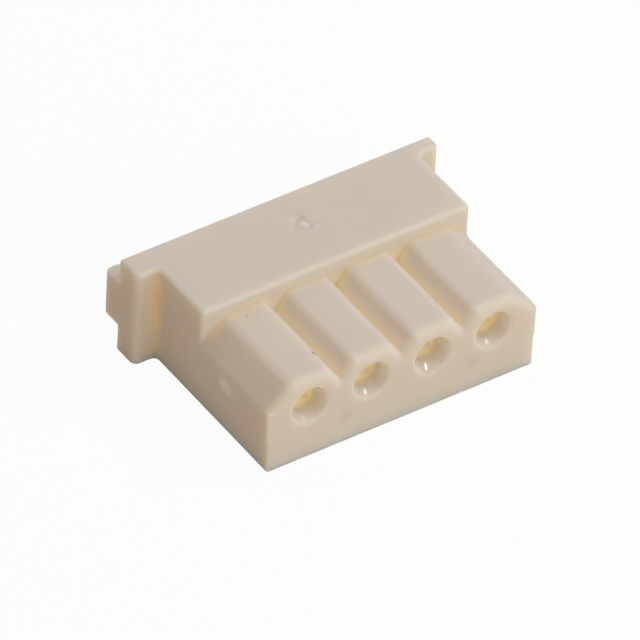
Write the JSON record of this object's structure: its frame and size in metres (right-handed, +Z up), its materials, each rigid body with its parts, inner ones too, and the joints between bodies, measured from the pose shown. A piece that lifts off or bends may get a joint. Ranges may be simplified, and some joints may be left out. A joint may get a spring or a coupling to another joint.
{
  "type": "wire to board connector housing",
  "caption": "Ivory nylon receptacle housing with scalloped ridges over round pin entries, open contact cavities behind, and side ears that locate it in a board header.",
  "frame": {"origin": "on the underside, at the middle of the width and of the depth over the ear ribs", "axes": "+X along the row of circuits, +Y from the pin face to the wire face, +Z up from the flat underside to the ridges"},
  "size_m": [0.0126, 0.0088, 0.0041],
  "materials": {
    "nylon": "satin"
  },
  "bodies": {
    "root": {"housing": "nylon"}
  },
  "joints": []
}
